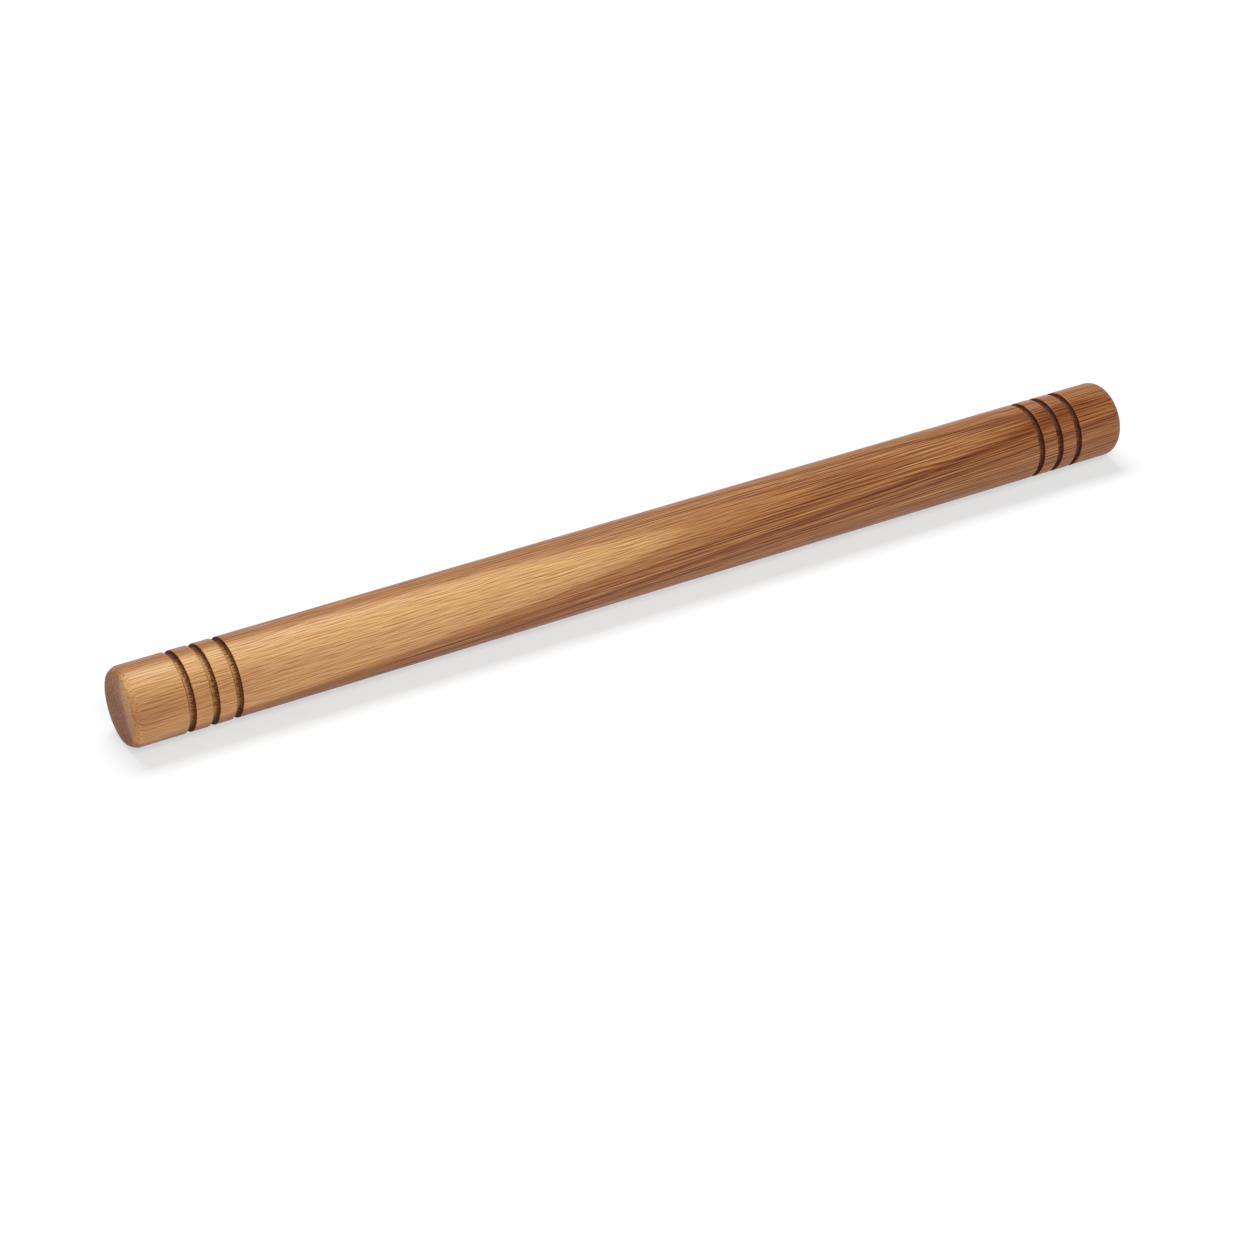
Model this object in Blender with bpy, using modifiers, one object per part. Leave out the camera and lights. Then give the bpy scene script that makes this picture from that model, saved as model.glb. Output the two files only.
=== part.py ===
"""A muddler: a straight bar stick turned from one length of hardwood.

The stick lies along X on the plane z = 0, and the origin is on that plane, under the middle of the stick.
The broad, lightly chamfered working face is at -X. The rounded end that the palm presses on is at +X.
Three ornamental coves are turned near each end. All sizes are in metres.
"""

import math

import bpy

# Driving dimensions
LENGTH = 0.300
DIAMETER = 0.02095
RADIUS = DIAMETER / 2

# The edge between each end face and the side: how far it reaches along the stick and in from the side.
# A roundness of 1 is a flat chamfer, and 2 is a quarter of an ellipse.
WORKING_EDGE_LENGTH = 0.00195
WORKING_EDGE_DEPTH = 0.00115
WORKING_EDGE_ROUNDNESS = 1.35
PALM_EDGE_LENGTH = 0.00285
PALM_EDGE_DEPTH = 0.00285
PALM_EDGE_ROUNDNESS = 2.0

# The coves: each is a half ellipse cut into the side
COVES_PER_END = 3
COVE_PITCH = 0.00633
COVE_WIDTH = 0.0019
COVE_DEPTH = 0.0011
WORKING_END_TO_FIRST_COVE = 0.01487
PALM_END_TO_FIRST_COVE = 0.01564

# How finely the curves are divided
TURN_STEPS = 48
WORKING_EDGE_STEPS = 4
PALM_EDGE_STEPS = 6
COVE_STEPS = 6

# Finish
WOOD_COLOUR = (0.41, 0.20, 0.075, 1.0)
WOOD_ROUGHNESS = 0.45
SHARP_ANGLE = math.radians(35)
AXIS_MERGE = 0.00005


def clear_scene():
    for item in list(bpy.data.objects):
        bpy.data.objects.remove(item, do_unlink=True)


def edge_curve(length, depth, roundness, steps):
    """Points from an end face to the side, as (radius, distance from the end)."""
    points = []
    for step in range(steps + 1):
        turn = step / steps * math.pi / 2
        inward = depth * (1 - math.sin(turn) ** (2 / roundness))
        along = length * (1 - math.cos(turn) ** (2 / roundness))
        points.append((RADIUS - inward, along))
    return points


def cove_centres():
    """Where each cove is along the stick, from the palm end to the working end."""
    palm = [LENGTH / 2 - PALM_END_TO_FIRST_COVE - i * COVE_PITCH for i in range(COVES_PER_END)]
    working = [-LENGTH / 2 + WORKING_END_TO_FIRST_COVE + i * COVE_PITCH for i in range(COVES_PER_END)]
    return palm + working[::-1]


def cove_curve(centre):
    """Points across one cove, as (radius, position), from its palm side to its working side."""
    points = []
    for step in range(COVE_STEPS + 1):
        turn = step / COVE_STEPS * math.pi
        position = centre + COVE_WIDTH / 2 * math.cos(turn)
        points.append((RADIUS - COVE_DEPTH * math.sin(turn), position))
    return points


def stick_outline():
    """Half of the lengthways section, as (radius, position), from the palm end's centre down to the working end's."""
    top = LENGTH / 2
    palm_edge = edge_curve(PALM_EDGE_LENGTH, PALM_EDGE_DEPTH, PALM_EDGE_ROUNDNESS, PALM_EDGE_STEPS)
    working_edge = edge_curve(WORKING_EDGE_LENGTH, WORKING_EDGE_DEPTH, WORKING_EDGE_ROUNDNESS, WORKING_EDGE_STEPS)
    outline = [(0.0, top)]
    outline += [(radius, top - along) for radius, along in palm_edge]
    for centre in cove_centres():
        outline += cove_curve(centre)
    outline += [(radius, along - top) for radius, along in reversed(working_edge)]
    outline.append((0.0, -top))
    return outline


def wood_material():
    material = bpy.data.materials.new("oiled_wood")
    material.use_nodes = True
    shader = material.node_tree.nodes["Principled BSDF"]
    shader.inputs["Base Color"].default_value = WOOD_COLOUR
    shader.inputs["Roughness"].default_value = WOOD_ROUGHNESS
    shader.inputs["Metallic"].default_value = 0.0
    material.diffuse_color = WOOD_COLOUR
    return material


def turned_mesh(name, outline):
    """A closed mesh, made by turning the outline once round local Z."""
    profile = bpy.data.meshes.new(name + "_profile")
    corners = [(radius, 0.0, position) for radius, position in outline]
    profile.from_pydata(corners, [(i, i + 1) for i in range(len(corners) - 1)], [])
    lathe = bpy.data.objects.new(name + "_lathe", profile)
    bpy.context.scene.collection.objects.link(lathe)
    screw = lathe.modifiers.new("Turn", "SCREW")
    screw.axis = "Z"
    screw.angle = 2 * math.pi
    screw.steps = TURN_STEPS
    screw.render_steps = TURN_STEPS
    screw.use_merge_vertices = True
    screw.merge_threshold = AXIS_MERGE
    graph = bpy.context.evaluated_depsgraph_get()
    mesh = bpy.data.meshes.new_from_object(lathe.evaluated_get(graph))
    mesh.name = name
    bpy.data.objects.remove(lathe, do_unlink=True)
    bpy.data.meshes.remove(profile)
    mesh.shade_smooth()
    mesh.set_sharp_from_angle(angle=SHARP_ANGLE)
    return mesh


def build_muddler():
    muddler = bpy.data.collections.new("muddler")
    bpy.context.scene.collection.children.link(muddler)
    body = bpy.data.objects.new("muddler_body", turned_mesh("muddler_body", stick_outline()))
    body.data.materials.append(wood_material())
    # Turned about local Z, then laid down so that the palm end points along +X.
    body.rotation_euler = (0.0, math.pi / 2, 0.0)
    body.location = (0.0, 0.0, RADIUS)
    muddler.objects.link(body)


clear_scene()
build_muddler()
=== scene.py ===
"""Looks of a turned hardwood muddler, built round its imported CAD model.

The stick lies along X: working face at -X, palm end at +X, floor at z = 0. Sizes below are in millimetres unless
they say otherwise, and meshes are made in metres.
"""

import math

import bpy
import numpy as np
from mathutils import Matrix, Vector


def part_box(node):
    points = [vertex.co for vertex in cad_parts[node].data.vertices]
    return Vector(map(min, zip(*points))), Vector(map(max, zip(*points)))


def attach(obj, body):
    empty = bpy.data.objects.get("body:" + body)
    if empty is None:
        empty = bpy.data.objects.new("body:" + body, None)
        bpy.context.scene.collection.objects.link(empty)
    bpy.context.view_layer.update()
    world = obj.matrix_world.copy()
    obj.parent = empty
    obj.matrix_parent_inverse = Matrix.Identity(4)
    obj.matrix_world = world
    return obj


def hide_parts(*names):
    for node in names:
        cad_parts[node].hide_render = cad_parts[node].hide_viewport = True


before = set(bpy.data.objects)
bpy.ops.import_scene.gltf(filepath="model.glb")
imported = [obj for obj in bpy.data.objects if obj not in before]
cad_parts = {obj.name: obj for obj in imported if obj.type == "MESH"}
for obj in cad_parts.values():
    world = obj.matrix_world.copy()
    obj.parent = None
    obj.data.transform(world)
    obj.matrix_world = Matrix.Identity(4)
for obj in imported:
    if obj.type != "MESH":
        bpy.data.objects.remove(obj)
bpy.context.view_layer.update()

MM = 0.001
NODE = "muddler_body"
low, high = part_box(NODE)
LENGTH = (high.x - low.x) / MM
RADIUS = (high.z - low.z) / MM / 2
HALF = LENGTH / 2

# The turned outline, as in the CAD model
WORKING_EDGE_LENGTH, WORKING_EDGE_DEPTH, WORKING_EDGE_ROUNDNESS = 1.95, 1.15, 1.35
PALM_EDGE_LENGTH, PALM_EDGE_DEPTH, PALM_EDGE_ROUNDNESS = 2.85, 2.85, 2.0
COVES_PER_END = 3
COVE_PITCH = 6.33
COVE_WIDTH = 1.9
COVE_DEPTH = 1.1
WORKING_END_TO_FIRST_COVE = 14.87
PALM_END_TO_FIRST_COVE = 15.64

# How finely the mesh is divided
TURN_STEPS = 160
RING_SPACING = 1.0
FACE_RINGS = 9
EDGE_STEPS = 12
COVE_STEPS = 16
LIP_STEPS = 4

# A cove's softened lip: how far it starts outside the cove, where its corner lies as a share of half the cove's
# width, and where it meets the cove's wall
LIP_OUTSIDE = 0.099
LIP_CORNER = 0.985
LIP_START = math.radians(24)

# Space between the pieces of the UV map
UV_GAP = 0.8

# Scorching and painted shade in the coves. Across a cove, -1 is its working-end rim and 1 its palm-end rim.
PALM_WALL_FROM, PALM_WALL_SPAN = -0.62, 1.5
OTHER_WALL_FROM, OTHER_WALL_SPAN, OTHER_WALL_MOST = 0.45, 0.4, 0.85
OTHER_WALL_DEPTH = 0.3
SCORCH_AND_SHADE_PER_DEPTH = 4

# The wood's growth layers are cones round a pith that runs outside the stick. Offsets are from the stick's axis. The
# pith's place and slope were fitted so that the figure falls where the photograph shows it.
PITH_Y, PITH_Z = -21.49, 22.32
PITH_SLOPE_Y, PITH_SLOPE_Z = 0.0135, 0.0779
LAYER_BOW = -2.23
FIBRE_SLOPE_Z = 0.02

# Noises that bend the fibres and the layers: features per millimetre along X, Y and Z, and how far they bend them
DRIFT_DENSITY, DRIFT = (0.014, 0.08, 0.08), 1.2
BEND_DENSITY, BEND = (0.018, 0.055, 0.055), 0.4
WAVE_DENSITY, WAVE = (0.08, 0.20, 0.20), 0.22
STEP_DENSITY, STEP = (0.04, 2.0, 2.0), 0.24

# Depth of tone by distance from the pith: pale layers near it, dark streaked layers further out. Tone is the natural
# logarithm of the red share against the palest wood, and green and blue fall faster than red. These tones and the
# palest wood's colour were fitted to average colours measured in the photograph.
LAYER_NEAR, LAYER_FAR = 12.0, 50.0
TONE_LOW, TONE_HIGH = -1.2, 0.1
LAYER_TONES = [
    (12.0, -0.25),
    (14.0, -0.17),
    (14.8, -0.08),
    (15.7, 0.02),
    (17.0, 0.06),
    (18.4, 0.08),
    (19.4, 0.06),
    (20.4, -0.05),
    (20.8, -0.16),
    (21.1, -0.38),
    (22.4, -0.47),
    (23.2, -0.74),
    (23.8, -0.66),
    (24.8, -0.46),
    (25.3, -0.62),
    (25.7, -1.12),
    (26.1, -1.08),
    (26.6, -0.74),
    (27.4, -0.60),
    (27.9, -0.78),
    (28.4, -1.08),
    (28.9, -0.74),
    (29.5, -0.60),
    (30.1, -0.74),
    (30.9, -0.48),
    (31.9, -0.70),
    (33.1, -0.74),
    (34.1, -0.68),
    (35.3, -0.76),
    (37.0, -0.70),
    (40.0, -0.78),
    (45.0, -0.70),
]
PALEST_WOOD = (0.528, 0.295, 0.12)
TONE_SLOPES = (1.0, 1.60, 1.95)

# Pale wood turns dark between these two layers, and the dark wood's grain has more contrast
DARK_FROM, DARK_TO = 20.0, 23.5
DARK_CONTRAST = 1.35

# Corrections by place, fitted to the photograph. Towards the back, every layer fades by this share to one tone.
FADED_TONE, FADE = -0.30, 0.5
FADE_FROM_Y, FADE_TO_Y = -4.5, 1.0

# Low down near the working face, the colour is darker
LOW_TONE = -0.24
LOW_UP_TO_Z, LOW_UP_TO_X = 7.0, -20.0

# Fine figure. Densities are in features per millimetre, and tones are how much it changes the depth of tone.
RING_DENSITY, RING_TONE = 2.4, -0.26
RING_LINE_FROM, RING_LINE_TO = 0.54, 0.70
STREAK_ACROSS, STREAK_ALONG_PALE, STREAK_ALONG_DARK, STREAK_TONE = 0.5, 0.10, 0.022, 0.06
HAIR_ACROSS, HAIR_ALONG_PALE, HAIR_ALONG_DARK = 2.9, 0.13, 0.038
HAIR_REACH = 0.15
HAIR_SKEW, HAIR_LIFT = -0.5, 0.035
HAIR_TONE, HAIR_TONE_MORE_IN_DARK, HAIR_LESS_ON_END = 0.9, 0.85, -0.5
PORE_DENSITY = (0.07, 1.7, 1.7)
PORE_CORE, PORE_RIM = 0.18, 0.46
PORE_TONE, PORE_TONE_MORE_ON_LINE, PORE_MORE_ON_END = 0.13, 0.06, 1.6

# Where the surface cuts across the fibres, as the size of its normal's X, and what that does to the colour
END_GRAIN_FROM, END_GRAIN_TO = 0.35, 0.95
END_GRAIN_TINT = (0.96, 0.87, 0.80, 1.0)

# How hairlines and pores break up the scorch and painted shade, how much is full, and what that does to the colour
RAGGED_BY_HAIRS, RAGGED_BY_PORES, SCORCH_AND_SHADE_EDGE = 1.5, 0.4, 4.0
FULL_SCORCH_AND_SHADE = 0.85
SCORCH_AND_SHADE_TINT = (0.22, 0.115, 0.05, 1.0)

# Oiled surface
ROUGHNESS, ROUGHER_IN_PORES, ROUGHER_ON_END, ROUGHER_IN_SCORCH_AND_SHADE = 0.42, 0.12, 0.12, 0.25
WOOD_IOR, WOOD_SPECULAR = 1.47, 0.28
PORE_HEIGHT, HAIR_HEIGHT = -0.03, 0.012

# Camera, in metres and degrees: the photograph's viewing angle
CAMERA_PLACE = (-0.39783, -0.66098, 0.45685)
CAMERA_AZIMUTH = -30.623
CAMERA_ELEVATION = 31.289
CAMERA_LENS = 97.34
CAMERA_SENSOR = 36.0

# The studio's light at the horizon and overhead, and how high the horizon's reaches, as the sine of the elevation
HORIZON_LIGHT, STUDIO_LIGHT = 1.02, 0.16
HORIZON_GLOW_FROM, HORIZON_GLOW_TO = 0.05, 0.34

# The floor's colour and its own light beside the stick, and the distances in metres over which the light grows to 1
# and turns white
FLOOR_COLOUR = (0.384, 0.366, 0.361, 1.0)
FLOOR_GLOW_COLOUR = (0.940, 0.984, 1.0, 1.0)
FLOOR_GLOW = 0.580
FLOOR_GLOW_FROM, FLOOR_GLOW_TO = 0.2, 1.5
FLOOR_HALF_SIZE = 6.0
WHITE = (1.0, 1.0, 1.0, 1.0)

# Softboxes: name, angle round the stick in degrees, then shift, distance, width and height in metres, then power in
# watts and colour
SOFTBOXES = [
    ("key_softbox", 111.0, 0.04, 1.4, 0.8, 0.52, 16.4, (1.0, 1.0, 1.0)),
    ("front_softbox", 52.0, -0.28, 1.5, 0.9, 0.45, 9.9, (1.0, 1.0, 1.0)),
    ("fill_softbox", 12.0, -0.45, 1.6, 1.2, 0.6, 3.9, (1.0, 0.88, 0.66)),
]


# ---------------------------------------------------------------- outline


def edge_points(length, depth, roundness):
    """From an end face to the side, as (distance from the end, radius)."""
    points = []
    for step in range(EDGE_STEPS + 1):
        turn = step / EDGE_STEPS * math.pi / 2
        inward = depth * (1 - math.sin(turn) ** (2 / roundness))
        along = length * (1 - math.cos(turn) ** (2 / roundness))
        points.append((along, RADIUS - inward))
    return points


def lip_points(centre, side):
    """The softened lip of a cove, from the side's surface down to the cove's wall."""
    surface = np.array((centre + side * (COVE_WIDTH / 2 + LIP_OUTSIDE), RADIUS))
    corner = np.array((centre + side * COVE_WIDTH / 2 * LIP_CORNER, RADIUS))
    wall = np.array(cove_point(centre, side, LIP_START))
    points = []
    for step in range(LIP_STEPS):
        t = step / LIP_STEPS
        point = (1 - t) ** 2 * surface + 2 * t * (1 - t) * corner + t**2 * wall
        points.append(tuple(point))
    return points


def cove_point(centre, side, turn):
    return (centre + side * COVE_WIDTH / 2 * math.cos(turn), RADIUS - COVE_DEPTH * math.sin(turn))


def cove_points(centre):
    """One cove with both its lips, as (position, radius), towards +X."""
    points = lip_points(centre, -1)
    for step in range(COVE_STEPS + 1):
        turn = LIP_START + step / COVE_STEPS * (math.pi - 2 * LIP_START)
        points.append(cove_point(centre, -1, turn))
    return points + lip_points(centre, 1)[::-1]


def straight_points(start, stop):
    """Evenly spaced rings between two points, without the points themselves."""
    count = max(1, round((stop - start) / RING_SPACING))
    return [(start + (stop - start) * i / count, RADIUS) for i in range(1, count)]


def outline():
    """The whole lengthways half section from the working face's rim to the palm face's rim."""
    working = edge_points(WORKING_EDGE_LENGTH, WORKING_EDGE_DEPTH, WORKING_EDGE_ROUNDNESS)
    palm = edge_points(PALM_EDGE_LENGTH, PALM_EDGE_DEPTH, PALM_EDGE_ROUNDNESS)
    points = [(along - HALF, radius) for along, radius in working]
    parts = [cove_points(centre) for centre in cove_centres()]
    parts.append([(HALF - along, radius) for along, radius in reversed(palm)])
    for part in parts:
        points += straight_points(points[-1][0], part[0][0])
        points += part
    return points


def cove_centres():
    steps = [i * COVE_PITCH for i in range(COVES_PER_END)]
    working = [-HALF + WORKING_END_TO_FIRST_COVE + step for step in steps]
    palm = [HALF - PALM_END_TO_FIRST_COVE - step for step in steps]
    return working + palm[::-1]


# ---------------------------------------------------------------- mesh


def turned_stick(name):
    """The stick as one closed mesh of rings, with its UV map."""
    side = outline()
    face_shares = [i / FACE_RINGS for i in range(1, FACE_RINGS)]
    rings = [(-HALF, side[0][1] * share) for share in face_shares] + side
    rings += [(HALF, side[-1][1] * share) for share in reversed(face_shares)]
    turn = np.arange(TURN_STEPS) / TURN_STEPS * 2 * math.pi
    across, up = -np.sin(turn), -np.cos(turn)

    vertices = [(-HALF, 0.0, 0.0)]
    for position, radius in rings:
        vertices += [(position, radius * a, radius * u) for a, u in zip(across, up)]
    vertices.append((HALF, 0.0, 0.0))
    co = np.array(vertices)
    co[:, 2] += RADIUS
    last = len(vertices) - 1

    def at(ring, step):
        return 1 + ring * TURN_STEPS + step % TURN_STEPS

    faces = [(0, at(0, j), at(0, j + 1)) for j in range(TURN_STEPS)]
    for i in range(len(rings) - 1):
        faces += [(at(i, j), at(i + 1, j), at(i + 1, j + 1), at(i, j + 1)) for j in range(TURN_STEPS)]
    faces += [(last, at(len(rings) - 1, j + 1), at(len(rings) - 1, j)) for j in range(TURN_STEPS)]

    mesh = bpy.data.meshes.new(name)
    mesh.from_pydata((co * MM).tolist(), [], faces)
    mesh.update()
    add_uv_map(mesh, rings, len(face_shares))
    mesh.shade_smooth()
    return mesh


def add_uv_map(mesh, rings, face_rings):
    """Two strips for the side and a disc for each end face, all at one scale."""
    first, stop = face_rings, len(rings) - face_rings - 1
    steps = [math.dist(rings[i], rings[i + 1]) for i in range(first, stop)]
    along = np.concatenate(([0.0], np.cumsum(steps)))
    cut = first + int(np.searchsorted(along, along[-1] / 2))
    girth = 2 * math.pi * RADIUS
    span = max(along[cut - first], along[-1] - along[cut - first]) + 2 * UV_GAP
    disc_height = 2 * (girth + UV_GAP) + UV_GAP + max(rings[first][1], rings[stop][1])
    size = max(span, disc_height + max(rings[first][1], rings[stop][1]) + UV_GAP)
    layer = mesh.uv_layers.new(name="OFBake")

    def side_uv(ring, step, strip):
        u = along[ring - first] - (along[cut - first] if strip else 0.0)
        return (u + UV_GAP) / size, (strip * (girth + UV_GAP) + UV_GAP + step / TURN_STEPS * girth) / size

    def disc_uv(index, end):
        point = mesh.vertices[index].co / MM
        centre = UV_GAP + rings[first][1] if end < 0 else 3 * UV_GAP + 2 * rings[first][1] + rings[stop][1]
        return (centre + point.y) / size, (disc_height + (point.z - RADIUS)) / size

    for polygon in mesh.polygons:
        corners = [mesh.loops[i].vertex_index for i in polygon.loop_indices]
        places = [divmod(c - 1, TURN_STEPS) for c in corners]
        ring_numbers = [ring for ring, _ in places]
        on_side = min(ring_numbers) >= first and max(ring_numbers) <= stop and len(corners) == 4
        wraps = max(step for _, step in places) - min(step for _, step in places) > 1
        strip = 1 if on_side and min(ring_numbers) >= cut else 0
        for loop, corner, (ring, step) in zip(polygon.loop_indices, corners, places):
            if on_side:
                uv = side_uv(ring, TURN_STEPS if wraps and step == 0 else step, strip)
            else:
                uv = disc_uv(corner, -1 if max(mesh.vertices[c].co.x for c in corners) < 0 else 1)
            layer.data[loop].uv = uv


def add_scorch_and_shade_attribute(mesh):
    """How much painted scorch and shade each vertex gets, from 0 on the side to 1 on the palm-end wall of a cove.

    The other wall gets scorch and painted shade too, but only below its lip.
    """
    co = np.array([v.co for v in mesh.vertices]) / MM
    radius = np.hypot(co[:, 1], co[:, 2] - RADIUS)
    offsets = np.array([co[:, 0] - centre for centre in cove_centres()])
    nearest = np.take_along_axis(offsets, np.abs(offsets).argmin(axis=0)[None], axis=0)[0]
    across = nearest / (COVE_WIDTH / 2)
    depth = (RADIUS - radius) / COVE_DEPTH
    palm_wall = ((across - PALM_WALL_FROM) / PALM_WALL_SPAN).clip(0.0, 1.0)
    palm_wall = palm_wall * (depth * SCORCH_AND_SHADE_PER_DEPTH).clip(0.0, 1.0)
    other_wall = ((-across - OTHER_WALL_FROM) / OTHER_WALL_SPAN).clip(0.0, OTHER_WALL_MOST)
    other_wall = other_wall * ((depth - OTHER_WALL_DEPTH) * SCORCH_AND_SHADE_PER_DEPTH).clip(0.0, 1.0)
    scorch_and_shade = np.where(np.abs(nearest) < COVE_WIDTH, np.maximum(palm_wall, other_wall), 0.0)
    attribute = mesh.attributes.new("scorch_and_shade", "FLOAT", "POINT")
    attribute.data.foreach_set("value", scorch_and_shade.astype(np.float32))


# ---------------------------------------------------------------- material nodes


class Tree:
    """Short calls for building a node tree."""

    def __init__(self, material):
        self.nodes = material.node_tree.nodes
        self.links = material.node_tree.links

    def put(self, socket, value):
        if isinstance(value, bpy.types.NodeSocket):
            self.links.new(value, socket)
        else:
            socket.default_value = value

    def math(self, operation, *values, clamp=False):
        node = self.nodes.new("ShaderNodeMath")
        node.operation = operation
        node.use_clamp = clamp
        for socket, value in zip(node.inputs, values):
            self.put(socket, value)
        return node.outputs[0]

    def vector(self, operation, *values):
        node = self.nodes.new("ShaderNodeVectorMath")
        node.operation = operation
        for socket, value in zip(node.inputs, values):
            self.put(socket, value)
        return node.outputs[0]

    def combine(self, x, y, z):
        node = self.nodes.new("ShaderNodeCombineXYZ")
        for socket, value in zip(node.inputs, (x, y, z)):
            self.put(socket, value)
        return node.outputs[0]

    def noise(self, place, detail=2.0, roughness=0.5):
        node = self.nodes.new("ShaderNodeTexNoise")
        self.put(node.inputs["Vector"], place)
        node.inputs["Scale"].default_value = 1.0
        node.inputs["Detail"].default_value = detail
        node.inputs["Roughness"].default_value = roughness
        return node.outputs["Fac"]

    def grain(self, fibre, across, along_pale, along_dark, dark_zone):
        """Noise drawn out along the fibres: across and along are in features per millimetre."""
        pale = self.noise(self.vector("MULTIPLY", fibre, (along_pale, across, across)), detail=1.0)
        dark = self.noise(self.vector("MULTIPLY", fibre, (along_dark, across, across)), detail=1.0)
        return self.math("MULTIPLY_ADD", self.math("SUBTRACT", dark, pale), dark_zone, pale)

    def hairlines(self, fibre, aside, across, along_pale, along_dark, dark_zone):
        """Grain less the grain a little to one side, which leaves lines of one width and no blotches.

        The dark lines are three times as strong as the pale ones.
        """
        here = self.grain(self.vector("ADD", fibre, aside), across, along_pale, along_dark, dark_zone)
        there = self.grain(self.vector("SUBTRACT", fibre, aside), across, along_pale, along_dark, dark_zone)
        lines = self.math("SUBTRACT", here, there)
        lifted = self.math("ADD", lines, HAIR_LIFT)
        return self.math("MULTIPLY_ADD", self.math("ABSOLUTE", lines), HAIR_SKEW, lifted)

    def cells(self, place):
        """Distance to the nearest of many scattered points, one to each unit of space."""
        node = self.nodes.new("ShaderNodeTexVoronoi")
        self.put(node.inputs["Vector"], place)
        node.inputs["Scale"].default_value = 1.0
        return node.outputs["Distance"]

    def remap(self, value, low, high, to_low=0.0, to_high=1.0, smooth=True):
        node = self.nodes.new("ShaderNodeMapRange")
        node.interpolation_type = "SMOOTHSTEP" if smooth else "LINEAR"
        for socket, item in zip(node.inputs, (value, low, high, to_low, to_high)):
            self.put(socket, item)
        return node.outputs[0]

    def mix(self, share, first, second, blend="MIX"):
        node = self.nodes.new("ShaderNodeMix")
        node.data_type = "RGBA"
        node.blend_type = blend
        self.put(node.inputs["Factor"], share)
        self.put(node.inputs[6], first)
        self.put(node.inputs[7], second)
        return node.outputs[2]

    def ramp(self, value, stops):
        node = self.nodes.new("ShaderNodeValToRGB")
        elements = node.color_ramp.elements
        while len(elements) < len(stops):
            elements.new(0.5)
        for element, (position, _) in zip(elements, stops):
            element.position = position
        for element, (_, colour) in zip(elements, stops):
            element.color = (*colour, 1.0)
        self.put(node.inputs[0], value)
        return node.outputs[0]


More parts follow.
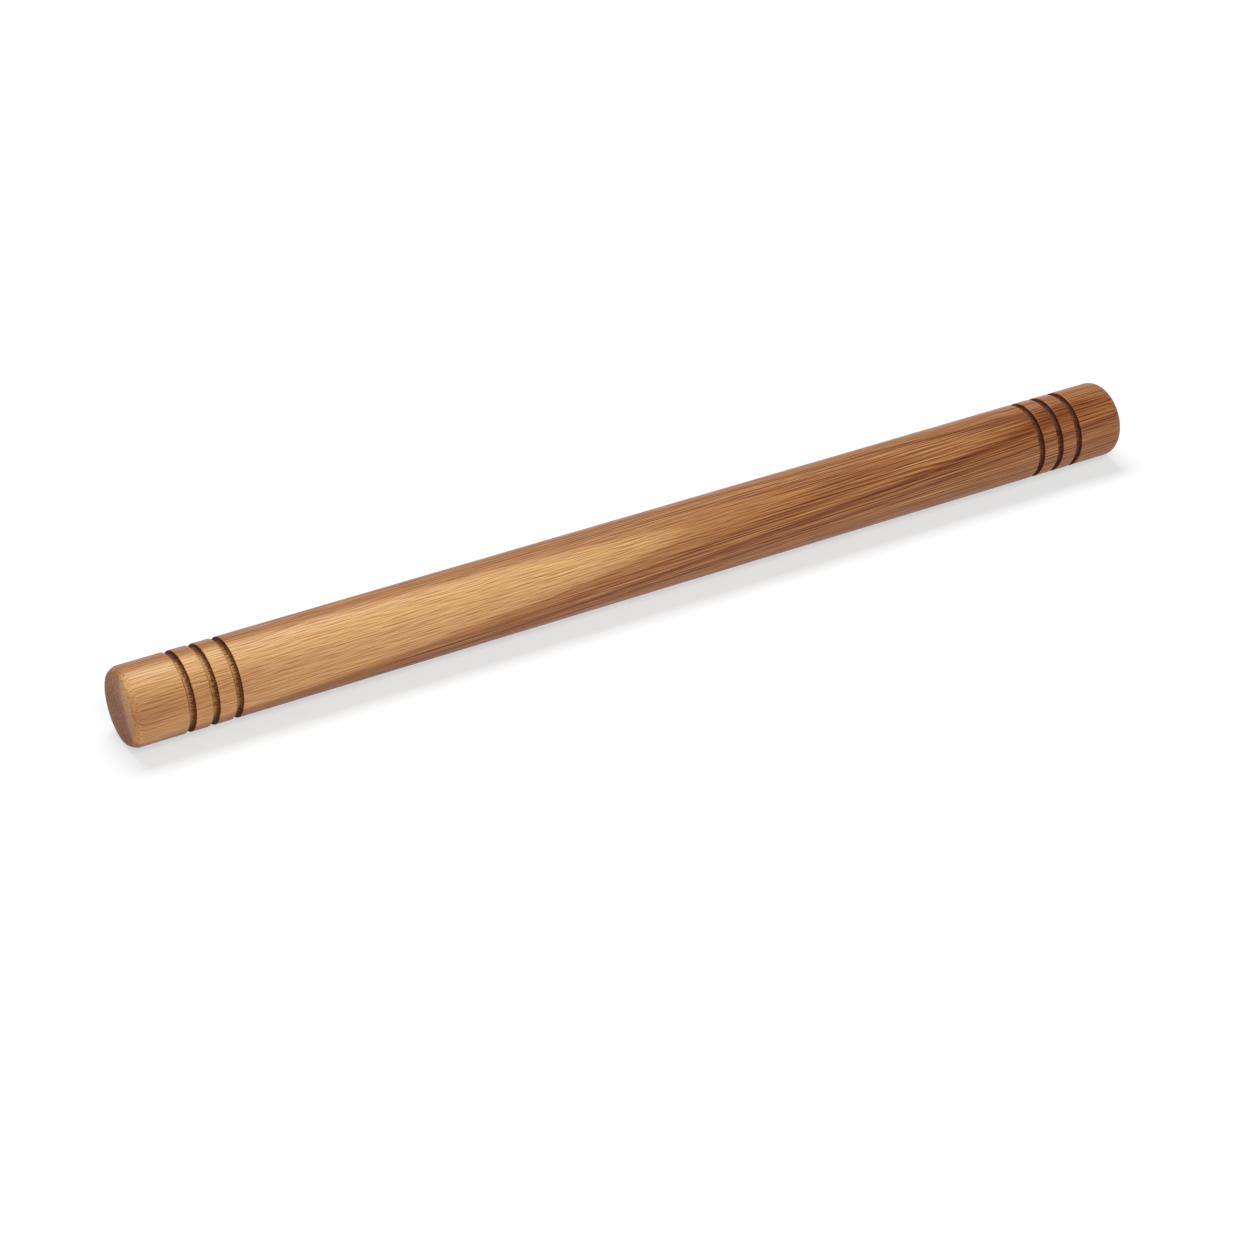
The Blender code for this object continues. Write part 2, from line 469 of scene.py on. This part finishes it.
def wood():
    material = bpy.data.materials.new("oiled_wood")
    material.use_nodes = True
    t = Tree(material)
    shader = t.nodes["Principled BSDF"]

    coordinates = t.nodes.new("ShaderNodeTexCoord")
    place = t.vector("MULTIPLY", coordinates.outputs["Object"], (1 / MM,) * 3)
    place = t.vector("SUBTRACT", place, (0.0, 0.0, RADIUS))
    split = t.nodes.new("ShaderNodeSeparateXYZ")
    t.put(split.inputs[0], place)
    x, y, z = split.outputs

    # Fibre frame: runs nearly along the stick, with a slow drift
    drift = t.noise(t.vector("MULTIPLY", place, DRIFT_DENSITY), detail=1.0)
    fibre_y = t.math("MULTIPLY_ADD", drift, DRIFT, y)
    fibre_z = t.math("SUBTRACT", z, t.math("MULTIPLY", x, FIBRE_SLOPE_Z))
    fibre = t.combine(x, fibre_y, fibre_z)

    # Growth layers: slow bends, waves, and edges that step along the fibres
    bend = t.noise(t.vector("MULTIPLY", place, BEND_DENSITY), detail=1.0)
    wave = t.noise(t.vector("MULTIPLY", place, WAVE_DENSITY), detail=2.0)
    step = t.noise(t.vector("MULTIPLY", fibre, STEP_DENSITY), detail=1.0)
    from_pith_y = t.math("SUBTRACT", y, t.math("MULTIPLY_ADD", x, PITH_SLOPE_Y, PITH_Y))
    from_pith_z = t.math("SUBTRACT", z, t.math("MULTIPLY_ADD", x, PITH_SLOPE_Z, PITH_Z))
    layer = t.math("SQRT", t.math("ADD", t.math("POWER", from_pith_y, 2.0), t.math("POWER", from_pith_z, 2.0)))
    bow = t.math("MULTIPLY", t.math("POWER", t.math("DIVIDE", x, HALF), 2.0), LAYER_BOW)
    layer = t.math("ADD", layer, bow)
    for noise, reach in ((bend, BEND), (wave, WAVE), (step, STEP)):
        layer = t.math("MULTIPLY_ADD", t.math("SUBTRACT", noise, 0.5), reach, layer)
    share = t.remap(layer, LAYER_NEAR, LAYER_FAR, smooth=False)
    stops = []
    for distance, tone in LAYER_TONES:
        grey = (tone - TONE_LOW) / (TONE_HIGH - TONE_LOW)
        stops.append(((distance - LAYER_NEAR) / (LAYER_FAR - LAYER_NEAR), (grey, grey, grey)))
    tone = t.math("MULTIPLY_ADD", t.ramp(share, stops), TONE_HIGH - TONE_LOW, TONE_LOW)

    # The layers fade a little towards the back, and the colour is darker low down near the working face
    fade = t.remap(y, FADE_FROM_Y, FADE_TO_Y, 0.0, FADE)
    tone = t.math("MULTIPLY_ADD", t.math("SUBTRACT", FADED_TONE, tone), fade, tone)
    low_down = t.remap(z, 0.0, LOW_UP_TO_Z, 1.0, 0.0)
    low_tone = t.remap(x, -HALF, LOW_UP_TO_X, LOW_TONE, 0.0, smooth=False)
    tone = t.math("MULTIPLY_ADD", low_down, low_tone, tone)

    # Where the surface cuts across the fibres, and where the layers are dark
    facing = t.nodes.new("ShaderNodeSeparateXYZ")
    t.put(facing.inputs[0], coordinates.outputs["Normal"])
    across = t.math("ABSOLUTE", facing.outputs["X"])
    end_grain = t.remap(across, END_GRAIN_FROM, END_GRAIN_TO)
    dark_zone = t.remap(layer, DARK_FROM, DARK_TO)
    contrast = t.remap(layer, DARK_FROM, DARK_TO, 1.0, DARK_CONTRAST)

    # Rings within the layers, then streaks, hairlines and pores along the grain: stronger in the dark layers
    rings = t.noise(t.combine(t.math("MULTIPLY", layer, RING_DENSITY), 0.0, 0.0), detail=2.0, roughness=0.65)
    ring_line = t.remap(rings, RING_LINE_FROM, RING_LINE_TO)
    streaks = t.grain(fibre, STREAK_ACROSS, STREAK_ALONG_PALE, STREAK_ALONG_DARK, dark_zone)
    outward = t.mix(end_grain, t.combine(0.0, y, z), t.combine(0.0, from_pith_y, from_pith_z))
    aside = t.vector("CROSS_PRODUCT", (HAIR_REACH, 0.0, 0.0), t.vector("NORMALIZE", outward))
    hairs = t.hairlines(fibre, aside, HAIR_ACROSS, HAIR_ALONG_PALE, HAIR_ALONG_DARK, dark_zone)
    pore = t.remap(t.cells(t.vector("MULTIPLY", fibre, PORE_DENSITY)), PORE_CORE, PORE_RIM, 1.0, 0.0)
    dash = t.math("MULTIPLY", pore, t.math("MULTIPLY_ADD", ring_line, PORE_TONE_MORE_ON_LINE, PORE_TONE))
    dash = t.math("MULTIPLY", dash, t.math("MULTIPLY_ADD", end_grain, PORE_MORE_ON_END, 1.0))
    grain = t.math("MULTIPLY", t.math("SUBTRACT", rings, 0.5), RING_TONE)
    grain = t.math("MULTIPLY_ADD", t.math("SUBTRACT", streaks, 0.5), STREAK_TONE, grain)
    hair_tone = t.math("MULTIPLY_ADD", dark_zone, HAIR_TONE_MORE_IN_DARK, HAIR_TONE)
    hair_tone = t.math("MULTIPLY", hair_tone, t.math("MULTIPLY_ADD", end_grain, HAIR_LESS_ON_END, 1.0))
    grain = t.math("MULTIPLY_ADD", hairs, hair_tone, grain)
    grain = t.math("SUBTRACT", grain, dash)
    tone = t.math("MULTIPLY_ADD", grain, contrast, tone)
    shares = [t.math("EXPONENT", t.math("MULTIPLY", tone, slope)) for slope in TONE_SLOPES]
    colour = t.vector("MULTIPLY", t.combine(*shares), PALEST_WOOD)

    # End grain soaks up more oil, so it is darker where the surface cuts across the fibres
    colour = t.mix(end_grain, colour, t.mix(1.0, colour, END_GRAIN_TINT, "MULTIPLY"))

    # The coves are scorched by the tool that burnished them and painted with shade, and both break up along the fibres
    burn_and_shade = t.nodes.new("ShaderNodeAttribute")
    burn_and_shade.attribute_name = "scorch_and_shade"
    ragged = t.math("MULTIPLY_ADD", pore, RAGGED_BY_PORES, burn_and_shade.outputs["Fac"])
    ragged = t.math("MULTIPLY_ADD", hairs, RAGGED_BY_HAIRS, ragged)
    ragged = t.math("MULTIPLY", ragged, t.math("MULTIPLY", burn_and_shade.outputs["Fac"], SCORCH_AND_SHADE_EDGE, clamp=True))
    scorch_and_shade = t.remap(ragged, 0.0, FULL_SCORCH_AND_SHADE)
    colour = t.mix(scorch_and_shade, colour, t.mix(1.0, colour, SCORCH_AND_SHADE_TINT, "MULTIPLY"))

    t.put(shader.inputs["Base Color"], colour)
    roughness = t.math("MULTIPLY_ADD", pore, ROUGHER_IN_PORES, ROUGHNESS)
    roughness = t.math("MULTIPLY_ADD", end_grain, ROUGHER_ON_END, roughness)
    roughness = t.math("MULTIPLY_ADD", scorch_and_shade, ROUGHER_IN_SCORCH_AND_SHADE, roughness)
    t.put(shader.inputs["Roughness"], roughness)
    shader.inputs["IOR"].default_value = WOOD_IOR
    shader.inputs["Specular IOR Level"].default_value = WOOD_SPECULAR

    height = t.math("MULTIPLY_ADD", hairs, HAIR_HEIGHT, t.math("MULTIPLY", pore, PORE_HEIGHT))
    bump = t.nodes.new("ShaderNodeBump")
    bump.inputs["Strength"].default_value = 1.0
    bump.inputs["Distance"].default_value = MM
    t.put(bump.inputs["Height"], height)
    t.put(shader.inputs["Normal"], bump.outputs[0])
    return material


# ---------------------------------------------------------------- stage


def floor_material():
    """White acrylic with a light of its own, which grows away from the stick where the softboxes' light fades."""
    material = bpy.data.materials.new("white_floor")
    material.use_nodes = True
    t = Tree(material)
    shader = t.nodes["Principled BSDF"]
    shader.inputs["Base Color"].default_value = FLOOR_COLOUR
    shader.inputs["Roughness"].default_value = 0.9
    shader.inputs["Specular IOR Level"].default_value = 0.0
    coordinates = t.nodes.new("ShaderNodeTexCoord")
    split = t.nodes.new("ShaderNodeSeparateXYZ")
    t.put(split.inputs[0], coordinates.outputs["Object"])
    squares = [t.math("POWER", split.outputs[axis], 2.0) for axis in ("X", "Y")]
    away = t.math("SQRT", t.math("ADD", *squares))
    share = t.remap(away, FLOOR_GLOW_FROM, FLOOR_GLOW_TO, smooth=False)
    t.put(shader.inputs["Emission Color"], t.mix(share, FLOOR_GLOW_COLOUR, WHITE))
    t.put(shader.inputs["Emission Strength"], t.math("MULTIPLY_ADD", share, 1.0 - FLOOR_GLOW, FLOOR_GLOW))
    return material


def add_floor():
    half = FLOOR_HALF_SIZE
    corners = [(-half, -half, 0.0), (half, -half, 0.0), (half, half, 0.0), (-half, half, 0.0)]
    mesh = bpy.data.meshes.new("floor")
    mesh.from_pydata(corners, [], [(0, 1, 2, 3)])
    mesh.materials.append(floor_material())
    floor = bpy.data.objects.new("floor", mesh)
    bpy.context.scene.collection.objects.link(floor)


def add_softbox(name, behind, shift, distance, width, height, power, colour):
    """A softbox over the stick, turned to its middle.

    behind is its angle round the stick, in degrees: 0 is level in front, 90 overhead, 180 level behind. shift moves
    it towards +X, in metres.
    """
    turn = math.radians(behind)
    data = bpy.data.lights.new(name, "AREA")
    data.shape = "RECTANGLE"
    data.size, data.size_y = width, height
    data.energy = power
    data.color = colour
    lamp = bpy.data.objects.new(name, data)
    lamp.location = (shift, -distance * math.cos(turn), distance * math.sin(turn))
    lamp.rotation_euler = lamp.location.to_track_quat("Z", "Y").to_euler()
    bpy.context.scene.collection.objects.link(lamp)


def add_world():
    """A studio that is white at the horizon and darker overhead, so most light is the softboxes' and the floor's."""
    world = bpy.data.worlds.new("studio")
    world.use_nodes = True
    t = Tree(world)
    direction = t.nodes.new("ShaderNodeTexCoord")
    parts = t.nodes.new("ShaderNodeSeparateXYZ")
    t.put(parts.inputs[0], direction.outputs["Generated"])
    strength = t.remap(parts.outputs["Z"], HORIZON_GLOW_FROM, HORIZON_GLOW_TO, HORIZON_LIGHT, STUDIO_LIGHT)
    t.put(t.nodes["Background"].inputs["Strength"], strength)
    t.nodes["Background"].inputs["Color"].default_value = WHITE
    bpy.context.scene.world = world


def add_camera():
    data = bpy.data.cameras.new("camera")
    data.lens = CAMERA_LENS
    data.sensor_width = CAMERA_SENSOR
    camera = bpy.data.objects.new("camera", data)
    camera.location = CAMERA_PLACE
    camera.rotation_euler = (math.radians(90.0 - CAMERA_ELEVATION), 0.0, math.radians(CAMERA_AZIMUTH))
    bpy.context.scene.collection.objects.link(camera)
    bpy.context.scene.camera = camera


# ---------------------------------------------------------------- scene


def build_stick():
    mesh = turned_stick("muddler_stick")
    add_scorch_and_shade_attribute(mesh)
    mesh.materials.append(wood())
    stick = bpy.data.objects.new("muddler_stick", mesh)
    bpy.context.scene.collection.objects.link(stick)
    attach(stick, "root")
    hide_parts(NODE)


bpy.context.scene.view_settings.view_transform = "Standard"
build_stick()
add_floor()
add_world()
for softbox in SOFTBOXES:
    add_softbox(*softbox)
add_camera()
